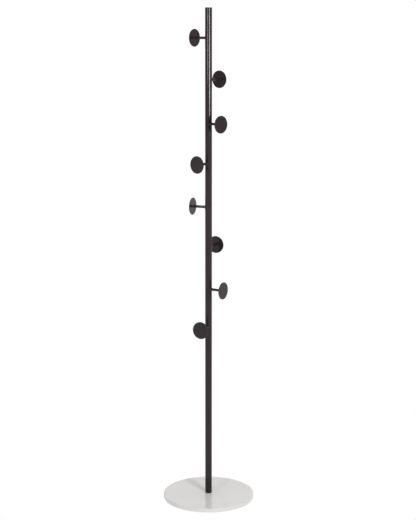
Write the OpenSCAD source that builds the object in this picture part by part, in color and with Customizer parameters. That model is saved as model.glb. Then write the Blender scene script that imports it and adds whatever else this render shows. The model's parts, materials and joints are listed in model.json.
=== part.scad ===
// Standing coat rack: a round post of three screwed steel tubes on a round stone
// base. Eight pegs, four on each of the two upper tubes, end in flat discs.
// Millimetres. The origin is on the post's axis at floor level, +Z is up, and the
// front of the rack faces -Y. Peg angles turn from +X towards +Y.
// Threads are plain cylinders at their major diameter.

/* [Overall] */
// Height from the floor to the top of the cap
rack_h = 1800; // [1400:10:2200]

/* [Stone base] */
// Diameter of the stone slab
base_d = 335; // [240:1:440]
// Thickness of the stone slab
base_t = 15; // [12:0.5:40]
// Radius of the slab's upper edge
base_top_edge = 1.6; // [0.5:0.1:4]
// Radius of the slab's lower edge
base_low_edge = 1; // [0.5:0.1:4]

/* [Floor pads] */
// Number of pads under the slab
pad_count = 6; // [3:1:12]
// Diameter of one pad
pad_d = 20; // [10:1:40]
// Thickness of one pad
pad_t = 1.5; // [1:0.25:5]
// Stone left between a pad and the slab's rim
pad_inset = 12; // [4:1:40]

/* [Base fixing] */
// Diameter of the steel plate in the recess under the slab
plate_d = 60; // [40:1:120]
// Thickness of the plate
plate_t = 2; // [1.5:0.5:5]
// Thread diameter of the base bolt
bolt_d = 8; // [6:1:10]
// Length of the base bolt under its head
bolt_len = 25; // [20:1:60]
// Diameter of the bolt's domed head
bolt_head_d = 14; // [12:0.5:20]
// Height of the bolt's head
bolt_head_h = 4.4; // [3:0.1:6]
// Size of the hexagon socket across its flats
bolt_socket = 5; // [4:0.5:6]
// Outer diameter of the toothed lock washer
washer_d = 15; // [13:0.5:20]
// Thickness of the lock washer
washer_t = 0.8; // [0.5:0.1:2]
// Number of teeth on the lock washer
washer_teeth = 8; // [6:1:12]
// Air left between the bolt's head and the floor
bolt_floor_gap = 1.3; // [1:0.1:4]

/* [Post] */
// Outer diameter of the post's tubes
tube_d = 25; // [22:0.5:34]
// Wall of the post's tubes
tube_wall = 1.5; // [1:0.1:2.5]
// Length of each of the two tubes that carry pegs
peg_tube_len = 600; // [480:5:760]
// Break on the outer corner of each tube end
tube_chamfer = 0.3; // [0.1:0.1:0.8]
// Height of the tapped plugs at the joints between tubes
plug_h = 25; // [16:1:40]
// Height of the tapped plug in the foot of the lowest tube
foot_plug_h = 20; // [16:1:40]
// Thread diameter of the studs that join the tubes
stud_d = 10; // [8:1:12]
// Length of the joint studs
stud_len = 44; // [24:1:60]

/* [Cap] */
// Thickness of the cap above the tube
cap_t = 2; // [1.5:0.1:5]
// Radius of the cap's upper edge
cap_edge = 0.9; // [0.3:0.1:1.4]
// Depth of the cap's spigot inside the tube
cap_depth = 12; // [8:1:30]
// Wall of the cap's spigot
cap_wall = 1.8; // [1:0.1:3]

/* [Pegs] */
// Turn of the upper tube about the post, which is the angle of peg 1
upper_turn = 143; // [-180:0.5:180]
// Turn of the middle tube about the post, which is the angle of peg 5
middle_turn = 156.5; // [-180:0.5:180]
// Turn of each hole from the highest hole of its tube, highest first
hole_turns = [0, -91, -189, -274];
// Height of each hole from even spacing, highest first
hole_shifts = [0, 1.5, -5.5, 0];
// Height of a tube's lowest hole above the tube's lower end
hole_low = 54; // [40:1:100]
// Distance from a tube's highest hole to the tube's upper end
hole_high = 103; // [50:1:160]
// Diameter of the pegs' round bar
stem_d = 9.5; // [8:0.1:12]
// Distance from the post's axis to the inner face of a disc
disc_reach = 61.5; // [45:0.5:90]
// Diameter of the discs
disc_d = 62.5; // [40:0.5:80]
// Thickness of the discs
disc_t = 2; // [1.5:0.25:5]
// Radius of the discs' edges
disc_edge = 0.4; // [0.2:0.05:0.7]
// Diameter of the bar's turned end in the disc
weld_spigot_d = 6; // [4:0.5:7]

/* [Peg fixing] */
// Thread diameter at the root of a peg
peg_thread_d = 6; // [5:0.5:7]
// Length of the peg's thread, from the shoulder inwards
peg_thread_len = 10; // [7:0.5:12]
// Diameter of the saddle washer between the post and the peg's shoulder
saddle_d = 12.5; // [12:0.5:16]
// Thickness of the saddle washer at the crest of the tube
saddle_t = 1.4; // [0.8:0.1:3]
// Outer diameter of the blind rivet nut in the tube's wall
rivet_nut_d = 9; // [8:0.5:10]
// Length of the rivet nut
rivet_nut_len = 9.5; // [8:0.5:10]
// Diameter of the rivet nut's bulge behind the wall
rivet_bulge_d = 11.5; // [11:0.5:13]
// Thickness of the rivet nut's bulge
rivet_bulge_t = 2; // [1:0.25:3]

/* [Clearances] */
// Radial gap of pressed and screwed fits
fit_gap = 0.05; // [0.02:0.01:0.1]
// Radial gap round a bolt or a thread in a plain hole
hole_gap = 0.5; // [0.2:0.1:1]
// Radial gap round the plate in its recess
recess_gap = 2; // [1:0.5:5]

/* [Hidden] */
$fn = 96;
arc_steps = 6;
small_chamfer = 0.5;
thread_chamfer = 0.8;
socket_depth_share = 0.6;
head_flat_share = 0.5;
washer_notch_w = 1.6;
washer_notch_depth = 2;
cap_ring_w = 1;
cap_ring_h = 0.5;
cut_overrun = 1;

holes_per_tube = len(hole_turns);
peg_count = 2 * holes_per_tube;

base_r = base_d / 2;
base_low = pad_t;
base_top = base_low + base_t;
pad_ring_r = base_r - pad_inset - pad_d / 2;

recess_r = plate_d / 2 + recess_gap;
recess_h = plate_t + washer_t + bolt_head_h + bolt_floor_gap - pad_t;
recess_top = base_low + recess_h;
washer_top = recess_top - plate_t;
bolt_seat = washer_top - washer_t;
bolt_r = bolt_d / 2;
bolt_hole_r = bolt_r + hole_gap;

tube_r = tube_d / 2;
bore_r = tube_r - tube_wall;
plug_r = bore_r - fit_gap;
stud_r = stud_d / 2;
upper_low = rack_h - cap_t - peg_tube_len;
middle_low = upper_low - peg_tube_len;
lower_len = middle_low - base_top;

hole_pitch = (peg_tube_len - hole_low - hole_high) / (holes_per_tube - 1);
stem_r = stem_d / 2;
disc_r = disc_d / 2;
saddle_r = saddle_d / 2;
shoulder_reach = tube_r + saddle_t;
peg_thread_r = peg_thread_d / 2;
weld_spigot_r = weld_spigot_d / 2;

rivet_nut_r = rivet_nut_d / 2;
rivet_bulge_r = rivet_bulge_d / 2;
rivet_hole_r = rivet_nut_r + fit_gap;
rivet_out = sqrt(pow(tube_r, 2) - pow(rivet_hole_r, 2)) - fit_gap;
rivet_in = rivet_out - rivet_nut_len;
bulge_out = sqrt(pow(bore_r, 2) - pow(rivet_bulge_r, 2)) - fit_gap;

// Points of an arc about centre c with radius r, from angle a0 to angle a1
function arc(c, r, a0, a1) =
    [for (k = [0 : arc_steps]) let (a = a0 + (a1 - a0) * k / arc_steps)
        [c.x + r * cos(a), c.y + r * sin(a)]];

// Peg i counts from 1 at the top; its hole is number hole_of(i) on its own tube
function hole_of(i) = (i - 1) % holes_per_tube;
function on_upper(i) = i <= holes_per_tube;
function hole_rise(k) = peg_tube_len - hole_high - k * hole_pitch + hole_shifts[k];
function peg_z(i) = (on_upper(i) ? upper_low : middle_low) + hole_rise(hole_of(i));
function peg_angle(i) = (on_upper(i) ? upper_turn : middle_turn) + hole_turns[hole_of(i)];

// Turns local +Z into the outward direction at angle a and height z on the post
module outward(a, z) {
    translate([0, 0, z]) rotate([0, 0, a]) rotate([0, 90, 0]) children();
}

module at_peg(i) {
    outward(peg_angle(i), peg_z(i)) children();
}

// Round bar from z0 to z1 with a chamfer c on both ends
module round_bar(r, z0, z1, c) {
    rotate_extrude()
        polygon([[0, z0], [r - c, z0], [r, z0 + c], [r, z1 - c], [r - c, z1], [0, z1]]);
}

// Ring from z0 to z1 with a chamfer c on both outer corners
module ring(r, bore, z0, z1, c) {
    rotate_extrude()
        polygon([
            [bore, z0], [r - c, z0], [r, z0 + c],
            [r, z1 - c], [r - c, z1], [bore, z1]
        ]);
}

module base_slab() {
    color("#e3dfda") translate([0, 0, base_low])
        rotate_extrude()
            polygon(concat(
                [[recess_r, 0]],
                arc([base_r - base_low_edge, base_low_edge], base_low_edge, -90, 0),
                arc([base_r - base_top_edge, base_t - base_top_edge], base_top_edge, 0, 90),
                [[bolt_hole_r, base_t], [bolt_hole_r, recess_h], [recess_r, recess_h]]
            ));
}

module floor_pads() {
    color("#4a4a4a")
        for (k = [0 : pad_count - 1])
            rotate([0, 0, k * 360 / pad_count]) translate([pad_ring_r, 0, 0])
                cylinder(r = pad_d / 2, h = pad_t);
}

module base_plate() {
    color("#b4b8bb") ring(plate_d / 2, bolt_hole_r, washer_top, recess_top, small_chamfer);
}

module base_lock_washer() {
    color("#c2c5c7") difference() {
        translate([0, 0, bolt_seat]) cylinder(d = washer_d, h = washer_t);
        translate([0, 0, bolt_seat - cut_overrun])
            cylinder(r = bolt_r + hole_gap / 2, h = washer_t + 2 * cut_overrun);
        for (k = [0 : washer_teeth - 1])
            rotate([0, 0, k * 360 / washer_teeth])
                translate([
                    washer_d / 2 - washer_notch_depth, -washer_notch_w / 2,
                    bolt_seat - cut_overrun
                ])
                    cube([washer_d, washer_notch_w, washer_t + 2 * cut_overrun]);
    }
}

module base_bolt() {
    head_r = bolt_head_d / 2;
    flat_r = head_r * head_flat_share;
    head_low = bolt_seat - bolt_head_h;
    shank_top = bolt_seat + bolt_len;
    socket_r = bolt_socket / 2 / cos(30);
    color("#c2c5c7") difference() {
        rotate_extrude()
            polygon(concat(
                [[0, head_low]],
                [for (k = [0 : arc_steps]) let (a = 90 * k / arc_steps) [
                    flat_r + (head_r - flat_r) * sin(a),
                    head_low + (bolt_head_h - small_chamfer) * (1 - cos(a))
                ]],
                [[head_r, bolt_seat], [bolt_r, bolt_seat]],
                [[bolt_r, shank_top - thread_chamfer]],
                [[bolt_r - thread_chamfer, shank_top], [0, shank_top]]
            ));
        translate([0, 0, head_low - cut_overrun])
            cylinder(
                r = socket_r,
                h = bolt_head_h * socket_depth_share + cut_overrun,
                $fn = 6
            );
    }
}

// Tapped plug in a tube's bore, from z0 to z1, for a thread of radius r
module tapped_plug(r, z0, z1) {
    color("#a9adb0") ring(plug_r, r + fit_gap, z0, z1, small_chamfer);
}

module foot_plug() {
    tapped_plug(bolt_r, base_top, base_top + foot_plug_h);
}

module joint_socket(z) {
    tapped_plug(stud_r, z - plug_h, z);
}

module joint_plug(z) {
    tapped_plug(stud_r, z, z + plug_h);
}

module joint_stud(z) {
    color("#c2c5c7")
        translate([0, 0, z]) round_bar(stud_r, -stud_len / 2, stud_len / 2, thread_chamfer);
}

module tube(z0, z1) {
    ring(tube_r, bore_r, z0, z1, tube_chamfer);
}

module lower_tube() {
    color("#3b3838") tube(base_top, base_top + lower_len);
}

// Tube whose lower end is at height z, with the holes of pegs first to last
module peg_tube(z, first, last) {
    color("#3b3838") difference() {
        tube(z, z + peg_tube_len);
        for (i = [first : last])
            at_peg(i) cylinder(r = rivet_hole_r, h = tube_r + cut_overrun);
    }
}

module middle_tube() {
    peg_tube(middle_low, holes_per_tube + 1, peg_count);
}

module upper_tube() {
    peg_tube(upper_low, 1, holes_per_tube);
}

module top_cap() {
    body_r = plug_r - cap_ring_h;
    inner_r = plug_r - cap_wall;
    ring_z = [-cap_depth / 4, -cap_depth * 3 / 4];
    color("#454242") translate([0, 0, rack_h - cap_t])
        rotate_extrude()
            polygon(concat(
                [[0, 0], [0, cap_t]],
                arc([tube_r - cap_edge, cap_t - cap_edge], cap_edge, 90, 0),
                [[tube_r, 0], [body_r, 0]],
                [for (z = ring_z)
                    each [[body_r, z + cap_ring_w / 2], [plug_r, z], [body_r, z - cap_ring_w / 2]]],
                [[body_r, -cap_depth], [inner_r, -cap_depth], [inner_r, 0]]
            ));
}

// Rivet nuts: a tapped sleeve flush with the tube and a bulge behind the wall
module peg_rivet_nuts() {
    thread_bore = peg_thread_r + fit_gap;
    color("#c2c5c7")
        for (i = [1 : peg_count])
            at_peg(i) rotate_extrude()
                polygon([
                    [thread_bore, rivet_in], [rivet_nut_r, rivet_in],
                    [rivet_nut_r, bulge_out - rivet_bulge_t],
                    [rivet_bulge_r, bulge_out - rivet_bulge_t],
                    [rivet_bulge_r, bulge_out], [rivet_nut_r, bulge_out],
                    [rivet_nut_r, rivet_out], [thread_bore, rivet_out]
                ]);
}

// Saddle washers: round rings whose inner end is scooped to sit on the tube
module peg_saddles() {
    start = sqrt(pow(tube_r, 2) - pow(saddle_r, 2)) - cut_overrun;
    color("#5b5957") difference() {
        for (i = [1 : peg_count])
            at_peg(i)
                ring(saddle_r, peg_thread_r + hole_gap, start, shoulder_reach, tube_chamfer);
        translate([0, 0, base_top]) cylinder(r = tube_r, h = rack_h);
    }
}

module peg_stem(i) {
    tip = shoulder_reach - peg_thread_len;
    weld_end = disc_reach + disc_t;
    color("#353232") at_peg(i) rotate_extrude()
        polygon([
            [0, tip], [peg_thread_r - thread_chamfer, tip],
            [peg_thread_r, tip + thread_chamfer], [peg_thread_r, shoulder_reach],
            [stem_r - tube_chamfer, shoulder_reach],
            [stem_r, shoulder_reach + tube_chamfer],
            [stem_r, disc_reach], [weld_spigot_r, disc_reach],
            [weld_spigot_r, weld_end], [0, weld_end]
        ]);
}

module peg_disc(i) {
    color("#403c3b") at_peg(i) translate([0, 0, disc_reach])
        rotate_extrude()
            polygon(concat(
                [[weld_spigot_r + fit_gap, 0]],
                arc([disc_r - disc_edge, disc_edge], disc_edge, -90, 0),
                arc([disc_r - disc_edge, disc_t - disc_edge], disc_edge, 0, 90),
                [[weld_spigot_r + fit_gap, disc_t]]
            ));
}

base_slab();
floor_pads();
base_plate();
base_lock_washer();
base_bolt();
foot_plug();
lower_tube();
middle_tube();
upper_tube();
top_cap();
joint_socket(middle_low);  // lower_joint_socket
joint_plug(middle_low);  // lower_joint_plug
joint_stud(middle_low);  // lower_joint_stud
joint_socket(upper_low);  // upper_joint_socket
joint_plug(upper_low);  // upper_joint_plug
joint_stud(upper_low);  // upper_joint_stud
peg_rivet_nuts();
peg_saddles();
for (i = [1 : peg_count]) {
    peg_stem(i);
    peg_disc(i);
}
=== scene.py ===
import json
import math

import bmesh
import bpy
from mathutils import Matrix, Vector


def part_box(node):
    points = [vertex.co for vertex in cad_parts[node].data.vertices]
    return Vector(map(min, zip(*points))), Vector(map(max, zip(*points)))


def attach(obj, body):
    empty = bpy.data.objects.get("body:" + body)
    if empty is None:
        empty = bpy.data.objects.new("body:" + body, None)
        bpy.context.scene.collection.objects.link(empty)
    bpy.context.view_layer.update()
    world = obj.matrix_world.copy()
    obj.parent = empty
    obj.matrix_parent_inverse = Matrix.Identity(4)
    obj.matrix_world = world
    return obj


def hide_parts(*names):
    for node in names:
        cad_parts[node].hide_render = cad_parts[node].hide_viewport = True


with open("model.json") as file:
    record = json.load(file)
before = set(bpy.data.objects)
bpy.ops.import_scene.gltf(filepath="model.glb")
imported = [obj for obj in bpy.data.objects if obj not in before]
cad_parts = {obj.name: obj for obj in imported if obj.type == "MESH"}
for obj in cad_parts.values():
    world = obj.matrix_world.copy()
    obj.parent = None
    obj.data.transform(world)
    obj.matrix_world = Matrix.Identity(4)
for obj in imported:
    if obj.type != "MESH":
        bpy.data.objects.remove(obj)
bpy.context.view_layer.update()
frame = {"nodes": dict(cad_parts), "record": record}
NODES = frame["nodes"]
MM = 0.001
BODY = "root"

PEG_NUMBERS = range(1, 9)

# ---------------------------------------------------------------- measures read from the frame
TUBE_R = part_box("upper_tube")[1].x
STEM_R = (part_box("peg_1_stem")[1].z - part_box("peg_1_stem")[0].z) / 2

# ---------------------------------------------------------------- sizes of the detail
DISC_T = 2 * MM
SADDLE_T = 1.4 * MM         # at the crest of the tube
PEG_THREAD_R = 3 * MM
PEG_THREAD_LEN = 10 * MM
PEG_PITCH = 1.0 * MM
BOLT_R = 4 * MM
BOLT_HEAD_T = 4.4 * MM
BOLT_PITCH = 1.25 * MM
BOLT_HEX = 5 * MM
BOLT_HEX_DEPTH = 2.5 * MM
STUD_PITCH = 1.5 * MM
EDGE = 0.3 * MM
THREAD_DEPTH = 0.61         # depth of a 60 degree thread, as a share of its pitch
THREAD_CREST = 0.125        # share of half a pitch that is flat at the crest
THREAD_FLANK = 0.625        # share of half a pitch that slopes
THREAD_STEPS = 8            # rows in one turn of a thread
THREAD_LEAD = 0.2           # pitches from a thread to the plain shank beside it
BOLT_SEGMENTS = 48
STUD_SEGMENTS = 40
ROD_SEGMENTS = 32
SHARP_ANGLE = math.radians(35)
WELD_LENGTH = 2.6 * MM
WELD_RISE = 1.2 * MM
WELD_RIPPLES = 15
WELD_RIPPLE_RISE = 0.07     # as a share of the bead's own rise
WELD_STEPS = 7
WELD_SWELL = 1.6            # how late the bead swells along its length
WELD_RIPPLE_SEGMENTS = 6    # segments in one ripple


def peg_place(number):
    """Where a peg is: its own Z runs out along the peg, from the post's axis."""
    low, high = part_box(f"peg_{number}_disc")
    centre = (low + high) / 2
    turn = Matrix.Rotation(math.atan2(centre.y, centre.x), 4, "Z")
    return Matrix.Translation((0, 0, centre.z)) @ turn @ Matrix.Rotation(math.pi / 2, 4, "Y")


def disc_back(number):
    """Distance from the post's axis to the back of a peg's disc."""
    low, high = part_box(f"peg_{number}_disc")
    centre = (low + high) / 2
    return math.hypot(centre.x, centre.y) - DISC_T / 2


# ---------------------------------------------------------------- node helpers
class Shader:
    """Short names for building one node material."""

    def __init__(self, name):
        self.material = bpy.data.materials.new(name)
        self.material.use_nodes = True
        self.tree = self.material.node_tree
        self.bsdf = next(n for n in self.tree.nodes if n.type == "BSDF_PRINCIPLED")
        self.coords = self.add("ShaderNodeTexCoord").outputs["Object"]

    def add(self, kind, **settings):
        node = self.tree.nodes.new(kind)
        for key, value in settings.items():
            setattr(node, key, value)
        return node

    def link(self, source, target):
        self.tree.links.new(source, target)

    def noise(self, scale, detail=3.0, roughness=0.5, distortion=0.0, vector=None):
        node = self.add("ShaderNodeTexNoise")
        node.inputs["Scale"].default_value = scale
        node.inputs["Detail"].default_value = detail
        node.inputs["Roughness"].default_value = roughness
        node.inputs["Distortion"].default_value = distortion
        self.link(vector or self.coords, node.inputs["Vector"])
        return node.outputs["Fac"]

    def stretch(self, scale):
        node = self.add("ShaderNodeMapping")
        node.inputs["Scale"].default_value = scale
        self.link(self.coords, node.inputs["Vector"])
        return node.outputs["Vector"]

    def remap(self, value, low, high, to_low, to_high, smooth=False):
        node = self.add("ShaderNodeMapRange")
        if smooth:
            node.interpolation_type = "SMOOTHSTEP"
        for key, number in zip(("From Min", "From Max", "To Min", "To Max"), (low, high, to_low, to_high)):
            node.inputs[key].default_value = number
        self.link(value, node.inputs["Value"])
        return node.outputs["Result"]

    def ramp(self, value, stops):
        node = self.add("ShaderNodeValToRGB")
        elements = node.color_ramp.elements
        while len(elements) < len(stops):
            elements.new(0.5)
        for element, (place, colour) in zip(elements, stops):
            element.position = place
            element.color = (*colour, 1.0)
        self.link(value, node.inputs["Fac"])
        return node.outputs["Color"]

    def mix(self, factor, first, second, kind="MIX"):
        node = self.add("ShaderNodeMix", data_type="RGBA", blend_type=kind)
        self.link(factor, node.inputs["Factor"])
        for key, value in (("A", first), ("B", second)):
            socket = next(s for s in node.inputs if s.name == key and s.type == "RGBA")
            if isinstance(value, tuple):
                socket.default_value = (*value, 1.0)
            else:
                self.link(value, socket)
        return next(s for s in node.outputs if s.type == "RGBA")

    def math(self, operation, first, second):
        node = self.add("ShaderNodeMath", operation=operation)
        for socket, value in zip(node.inputs, (first, second)):
            if isinstance(value, (int, float)):
                socket.default_value = value
            else:
                self.link(value, socket)
        return node.outputs["Value"]

    def bump(self, height, strength, distance, normal=None):
        node = self.add("ShaderNodeBump")
        node.inputs["Strength"].default_value = strength
        node.inputs["Distance"].default_value = distance
        self.link(height, node.inputs["Height"])
        if normal is not None:
            self.link(normal, node.inputs["Normal"])
        return node.outputs["Normal"]

    def colour(self, value):
        self.link(value, self.bsdf.inputs["Base Color"])

    def roughness(self, value):
        self.link(value, self.bsdf.inputs["Roughness"])

    def normal(self, value):
        self.link(value, self.bsdf.inputs["Normal"])

    def fixed(self, **values):
        for key, value in values.items():
            self.bsdf.inputs[key.replace("_", " ")].default_value = value


# ---------------------------------------------------------------- materials
def black_coat():
    """Semi-gloss black-brown powder coat: fine orange peel, faint mottling."""
    s = Shader("black_coat")
    cloud = s.noise(22, detail=4)
    s.colour(s.ramp(cloud, [(0.30, (0.0190, 0.0120, 0.0140)), (0.72, (0.0245, 0.0160, 0.0182))]))
    peel = s.noise(380, detail=1)
    gloss = s.noise(60, detail=3)
    s.roughness(s.remap(gloss, 0.3, 0.7, 0.11, 0.15))
    s.normal(s.bump(peel, 0.08, 0.01 * MM))
    s.fixed(Specular_IOR_Level=0.3)
    return s.material


def marble():
    """Polished warm white marble: clouds, thin grey veins, crystal grain."""
    s = Shader("marble")
    cloud = s.noise(7, detail=5, roughness=0.55)
    base = s.ramp(cloud, [(0.25, (0.775, 0.764, 0.742)), (0.75, (0.815, 0.804, 0.782))])
    warp = s.noise(5, detail=4, distortion=1.2)
    line = s.math("ABSOLUTE", s.math("SUBTRACT", warp, 0.5), 0.0)
    vein = s.remap(line, 0.0, 0.018, 1.0, 0.0, smooth=True)
    patch = s.remap(s.noise(4, detail=2), 0.46, 0.62, 0.0, 0.12, smooth=True)
    s.colour(s.mix(s.math("MULTIPLY", vein, patch), base, (0.56, 0.55, 0.54)))
    crystal = s.noise(900, detail=2)
    s.roughness(s.remap(s.noise(40, detail=3), 0.3, 0.7, 0.17, 0.23))
    s.normal(s.bump(crystal, 0.05, 0.02 * MM))
    return s.material


def zinc_steel():
    """Bright zinc plate with a brushed grain and a faint tint."""
    s = Shader("zinc_steel")
    tint = s.noise(140, detail=3)
    s.colour(s.ramp(tint, [(0.3, (0.56, 0.575, 0.59)), (0.7, (0.66, 0.655, 0.64))]))
    grain = s.noise(1500, detail=3, vector=s.stretch((1.0, 1.0, 6.0)))
    s.roughness(s.remap(grain, 0.3, 0.7, 0.26, 0.42))
    s.normal(s.bump(grain, 0.15, 0.02 * MM))
    s.fixed(Metallic=1.0)
    return s.material


def black_zinc():
    """Dark zinc plate on the saddle washers: smoky, with a faint warm bloom."""
    s = Shader("black_zinc")
    s.colour(s.ramp(s.noise(260, detail=3), [(0.3, (0.130, 0.124, 0.126)), (0.7, (0.185, 0.172, 0.168))]))
    grain = s.noise(1900, detail=3)
    s.roughness(s.remap(grain, 0.3, 0.7, 0.30, 0.45))
    s.normal(s.bump(grain, 0.12, 0.01 * MM))
    s.fixed(Metallic=1.0)
    return s.material


def black_plastic():
    """Matte black plastic with a fine moulded grain."""
    s = Shader("black_plastic")
    s.colour(s.ramp(s.noise(200, detail=3), [(0.3, (0.030, 0.028, 0.028)), (0.7, (0.040, 0.037, 0.037))]))
    grain = s.noise(3200, detail=2)
    s.roughness(s.remap(grain, 0.3, 0.7, 0.42, 0.58))
    s.normal(s.bump(grain, 0.3, 0.03 * MM))
    return s.material


def pad_rubber():
    """Dull grey-black rubber with a pebbled skin."""
    s = Shader("pad_rubber")
    s.colour(s.ramp(s.noise(300, detail=3), [(0.3, (0.045, 0.045, 0.045)), (0.7, (0.075, 0.074, 0.072))]))
    s.roughness(s.remap(s.noise(500, detail=3), 0.3, 0.7, 0.72, 0.9))
    s.normal(s.bump(s.noise(1800, detail=3), 0.5, 0.06 * MM))
    return s.material


FINISHES = (black_coat, marble, zinc_steel, black_zinc, black_plastic, pad_rubber)
MATERIALS = {make.__name__: make() for make in FINISHES}


def dress_cad_nodes():
    """Every CAD node takes the finished material of its slot in the record."""
    for part in frame["record"]["subparts"]:
        mesh = NODES[part["node"]].data
        mesh.materials.clear()
        mesh.materials.append(MATERIALS[part["material_slot"]])


# ---------------------------------------------------------------- turned pieces
def spin(rows, segments, place, ring=False):
    """Points and faces of a turned piece about its own Z.

    A row is (z, radius), where radius is a number or a function of the angle. A ring joins its
    last row to its first; any other piece closes at both ends.
    """
    points = []
    for z, radius in rows:
        for step in range(segments):
            angle = math.tau * step / segments
            r = radius(angle) if callable(radius) else radius
            points.append(place @ Vector((r * math.cos(angle), r * math.sin(angle), z)))
    count = len(rows)
    faces = []
    for row in range(count if ring else count - 1):
        here = row * segments
        there = (row + 1) % count * segments
        for step in range(segments):
            after = (step + 1) % segments
            faces.append((here + step, here + after, there + after, there + step))
    if not ring:
        faces.append(tuple(range(segments)))
        faces.append(tuple(range((count - 1) * segments, count * segments)))
    return points, faces


def add_piece(name, skin, slot, *replaced):
    """One piece of the rack, shaded smooth between its true edges."""
    mesh = bpy.data.meshes.new(name)
    mesh.from_pydata(skin[0], [], skin[1])
    b = bmesh.new()
    b.from_mesh(mesh)
    bmesh.ops.recalc_face_normals(b, faces=b.faces)
    b.to_mesh(mesh)
    b.free()
    mesh.shade_smooth()
    mesh.set_sharp_from_angle(angle=SHARP_ANGLE)
    mesh.materials.append(MATERIALS[slot])
    piece = bpy.data.objects.new(name, mesh)
    bpy.context.scene.collection.objects.link(piece)
    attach(piece, BODY)
    if replaced:
        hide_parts(*replaced)


def thread_rows(start, end, radius, pitch, ends):
    """Rows of a 60 degree screw thread from start to end; `ends` are the heights it tapers at."""
    depth = THREAD_DEPTH * pitch
    count = round((end - start) / pitch * THREAD_STEPS)

    def row(z):
        gap = min([abs(z - tip) for tip in ends])
        limit = radius - max(0.0, depth - gap)

        def at(angle):
            turn = abs((z / pitch - angle / math.tau) % 1 - 0.5) * 2
            groove = min(1.0, max(0.0, (turn - THREAD_CREST) / THREAD_FLANK))
            return min(limit, radius - depth * groove)
        return z, at

    return [row(start + (end - start) * step / count) for step in range(count + 1)]


def hexagon(across):
    """Radius of a hexagon at an angle, from its width across flats."""
    sixth = math.pi / 3
    return lambda angle: across / 2 / math.cos(angle % sixth - sixth / 2)


def make_base_bolt():
    """Socket head screw: hex socket below, rolled thread above."""
    low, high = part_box("base_bolt")
    head_r = high.x
    shoulder = low.z + BOLT_HEAD_T
    socket = hexagon(BOLT_HEX)
    rows = [
        (low.z + BOLT_HEX_DEPTH, socket),
        (low.z + EDGE, socket),
        (low.z, hexagon(BOLT_HEX + 2 * EDGE)),
        (low.z, head_r - EDGE),
        (low.z + EDGE, head_r),
        (shoulder - EDGE, head_r),
        (shoulder, head_r - EDGE),
        (shoulder, BOLT_R),
        (shoulder + BOLT_PITCH, BOLT_R),
    ]
    rows += thread_rows(shoulder + (1 + THREAD_LEAD) * BOLT_PITCH, high.z, BOLT_R, BOLT_PITCH, [high.z])
    add_piece("base_bolt_threaded", spin(rows, BOLT_SEGMENTS, Matrix()), "zinc_steel", "base_bolt")


def make_joint_studs():
    """The studs that join the post's lengths: thread from end to end."""
    for node in ("lower_joint_stud", "upper_joint_stud"):
        low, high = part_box(node)
        rows = thread_rows(low.z, high.z, high.x, STUD_PITCH, [low.z, high.z])
        add_piece(f"{node}_threaded", spin(rows, STUD_SEGMENTS, Matrix()), "zinc_steel", node)


def make_stem(number):
    """A peg's rod: rolled thread, eased shoulder, plain barrel, weld spigot."""
    shoulder = TUBE_R + SADDLE_T
    back = disc_back(number)
    tip = shoulder - PEG_THREAD_LEN
    rows = thread_rows(tip, shoulder - PEG_PITCH, PEG_THREAD_R, PEG_PITCH, [tip])
    rows += [
        (shoulder - (1 - THREAD_LEAD) * PEG_PITCH, PEG_THREAD_R),
        (shoulder, PEG_THREAD_R),
        (shoulder, STEM_R - EDGE),
        (shoulder + EDGE / 3, STEM_R - EDGE / 3),
        (shoulder + EDGE, STEM_R),
        (back, STEM_R),
        (back, PEG_THREAD_R),
        (back + DISC_T, PEG_THREAD_R),
    ]
    skin = spin(rows, ROD_SEGMENTS, peg_place(number))
    add_piece(f"peg_{number}_rod", skin, "black_coat", f"peg_{number}_stem")


def make_weld(number):
    """The rippled bead that joins a rod to the back of its disc, under the coat."""
    back = disc_back(number)
    start = back - WELD_LENGTH

    def ripple(share):
        swell = WELD_RISE * share ** WELD_SWELL
        wave = WELD_RIPPLE_RISE * swell
        return lambda angle: STEM_R + swell + wave * abs(math.sin(angle * WELD_RIPPLES / 2))

    shares = [step / WELD_STEPS for step in range(WELD_STEPS + 1)]
    rows = [(start + WELD_LENGTH * share, ripple(share)) for share in shares]
    rows += [(back, STEM_R - EDGE), (start, STEM_R - EDGE)]
    skin = spin(rows, WELD_RIPPLES * WELD_RIPPLE_SEGMENTS, peg_place(number), ring=True)
    add_piece(f"peg_{number}_weld", skin, "black_coat")


def make_pieces():
    make_base_bolt()
    make_joint_studs()
    for number in PEG_NUMBERS:
        make_stem(number)
        make_weld(number)


# ---------------------------------------------------------------- camera, light, floor
CAMERA_PLACE = Vector((-0.002, -4.541, 1.733))
CAMERA_DOWN = math.radians(10.376)
CAMERA_LENS = 88.15
CAMERA_SENSOR = 36.0


def make_camera():
    data = bpy.data.cameras.new("camera")
    data.sensor_width = CAMERA_SENSOR
    data.lens = CAMERA_LENS
    camera = bpy.data.objects.new("camera", data)
    camera.location = CAMERA_PLACE
    camera.rotation_euler = (math.pi / 2 - CAMERA_DOWN, 0, 0)
    bpy.context.scene.collection.objects.link(camera)
    bpy.context.scene.camera = camera


def area_light(name, place, target, size, watts):
    data = bpy.data.lights.new(name, "AREA")
    data.shape = "RECTANGLE"
    data.size, data.size_y = size
    data.energy = watts
    light = bpy.data.objects.new(name, data)
    light.location = place
    light.rotation_euler = (Vector(target) - Vector(place)).to_track_quat("-Z", "Y").to_euler()
    bpy.context.scene.collection.objects.link(light)


STRIP_TURN = math.radians(30)
STRIP_REACH = 2.0
STRIP_TOP = 2.0
STRIP_WIDTH = 0.42


def strip_light(name, side, low, watts):
    """A tall softbox in front of the rack, on the left (-1) or the right (1)."""
    x = side * STRIP_REACH * math.sin(STRIP_TURN)
    y = -STRIP_REACH * math.cos(STRIP_TURN)
    middle = (low + STRIP_TOP) / 2
    area_light(name, (x, y, middle), (0, 0, middle), (STRIP_WIDTH, STRIP_TOP - low), watts)


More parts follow.
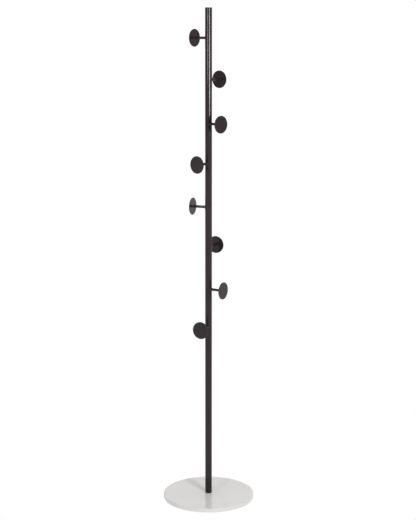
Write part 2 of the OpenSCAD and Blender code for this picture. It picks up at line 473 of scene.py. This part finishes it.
def make_lights():
    strip_light("strip_right", 1, 1.31, 28)
    strip_light("strip_left", -1, 1.48, 10)


BRIGHT_SIDE = Vector((0.20, 0.95, -0.20)).normalized()
DIM, BRIGHT = 0.42, 1.15
DIM_UP_TO, BRIGHT_FROM = 0.3, 0.85      # cosine of the angle from the bright side


def make_world():
    """White to look at; to the rack, a room that is brighter behind it than in front."""
    world = bpy.data.worlds.new("studio")
    world.use_nodes = True
    tree = world.node_tree
    background = next(n for n in tree.nodes if n.type == "BACKGROUND")
    output = next(n for n in tree.nodes if n.type == "OUTPUT_WORLD")
    white = tree.nodes.new("ShaderNodeBackground")
    white.inputs["Color"].default_value = (1, 1, 1, 1)
    coords = tree.nodes.new("ShaderNodeTexCoord")
    aim = tree.nodes.new("ShaderNodeVectorMath")
    aim.operation = "DOT_PRODUCT"
    aim.inputs[1].default_value = BRIGHT_SIDE
    spread = tree.nodes.new("ShaderNodeMapRange")
    spread.interpolation_type = "SMOOTHSTEP"
    shade = {"From Min": DIM_UP_TO, "From Max": BRIGHT_FROM, "To Min": DIM, "To Max": BRIGHT}
    for key, value in shade.items():
        spread.inputs[key].default_value = value
    rays = tree.nodes.new("ShaderNodeLightPath")
    choose = tree.nodes.new("ShaderNodeMixShader")
    link = tree.links.new
    link(coords.outputs["Generated"], aim.inputs[0])
    link(aim.outputs["Value"], spread.inputs["Value"])
    link(spread.outputs["Result"], background.inputs["Strength"])
    background.inputs["Color"].default_value = (1, 1, 1, 1)
    link(rays.outputs["Is Camera Ray"], choose.inputs["Fac"])
    link(background.outputs["Background"], choose.inputs[1])
    link(white.outputs["Background"], choose.inputs[2])
    link(choose.outputs["Shader"], output.inputs["Surface"])
    bpy.context.scene.world = world


FLOOR_R = 14.0
FLOOR_SEGMENTS = 96
FLOOR_GLOW = 0.78


def floor_white():
    """Overlit white paper: pure white to look at, a little less bright to the rack."""
    s = Shader("floor_white")
    s.fixed(Base_Color=(0.12, 0.12, 0.12, 1), Roughness=0.9, Specular_IOR_Level=0.0)
    s.fixed(Emission_Color=(1, 1, 1, 1), Emission_Strength=FLOOR_GLOW)
    white = s.add("ShaderNodeEmission")
    rays = s.add("ShaderNodeLightPath")
    choose = s.add("ShaderNodeMixShader")
    output = next(n for n in s.tree.nodes if n.type == "OUTPUT_MATERIAL")
    s.link(rays.outputs["Is Camera Ray"], choose.inputs["Fac"])
    s.link(s.bsdf.outputs["BSDF"], choose.inputs[1])
    s.link(white.outputs["Emission"], choose.inputs[2])
    s.link(choose.outputs["Shader"], output.inputs["Surface"])
    return s.material


def make_floor():
    """A wide plain disc under the rack."""
    mesh = bpy.data.meshes.new("floor")
    b = bmesh.new()
    bmesh.ops.create_circle(b, cap_ends=True, segments=FLOOR_SEGMENTS, radius=FLOOR_R)
    b.to_mesh(mesh)
    b.free()
    floor = bpy.data.objects.new("floor", mesh)
    bpy.context.scene.collection.objects.link(floor)
    mesh.materials.append(floor_white())


dress_cad_nodes()
make_pieces()
make_camera()
make_world()
make_lights()
make_floor()
bpy.context.scene.view_settings.view_transform = "Standard"
